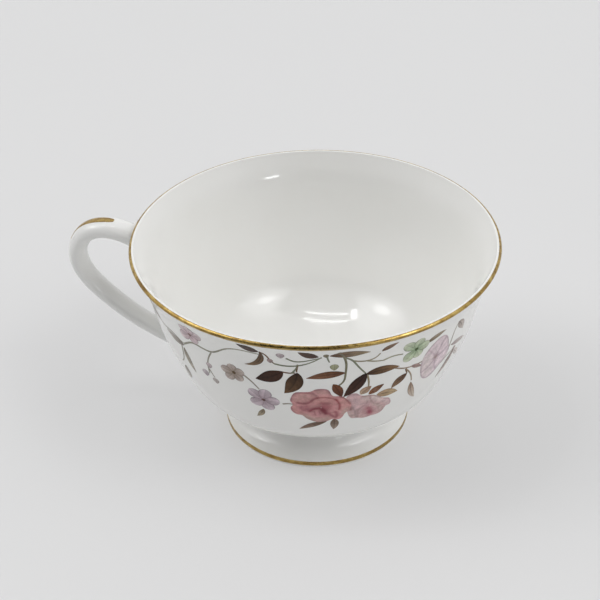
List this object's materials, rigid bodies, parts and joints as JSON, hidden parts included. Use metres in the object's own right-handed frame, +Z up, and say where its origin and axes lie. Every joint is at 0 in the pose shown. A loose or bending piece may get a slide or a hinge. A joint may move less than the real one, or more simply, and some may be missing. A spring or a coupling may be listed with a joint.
{
  "type": "teacup",
  "caption": "Footed porcelain teacup with a loop handle, gilded rim, foot and handle, and a printed garland of roses, blossoms and leaves.",
  "frame": {"origin": "centre of the foot's resting plane", "axes": "+Z up along the bowl's axis; the handle points along -X; +Y follows by the right-hand rule"},
  "size_m": [0.1176, 0.098, 0.0581],
  "materials": {
    "porcelain": "gloss",
    "gilding": "polished",
    "printed_enamel": "gloss"
  },
  "bodies": {
    "root": {"bowl": "porcelain", "foot_ring": "porcelain", "foot_slip_seam": "porcelain", "handle": "porcelain", "upper_handle_slip": "porcelain", "lower_handle_slip": "porcelain", "rim_gilding": "gilding", "foot_gilding": "gilding", "handle_gilding": "gilding", "front_garland_transfer": "printed_enamel", "back_garland_transfer": "printed_enamel"}
  },
  "joints": []
}
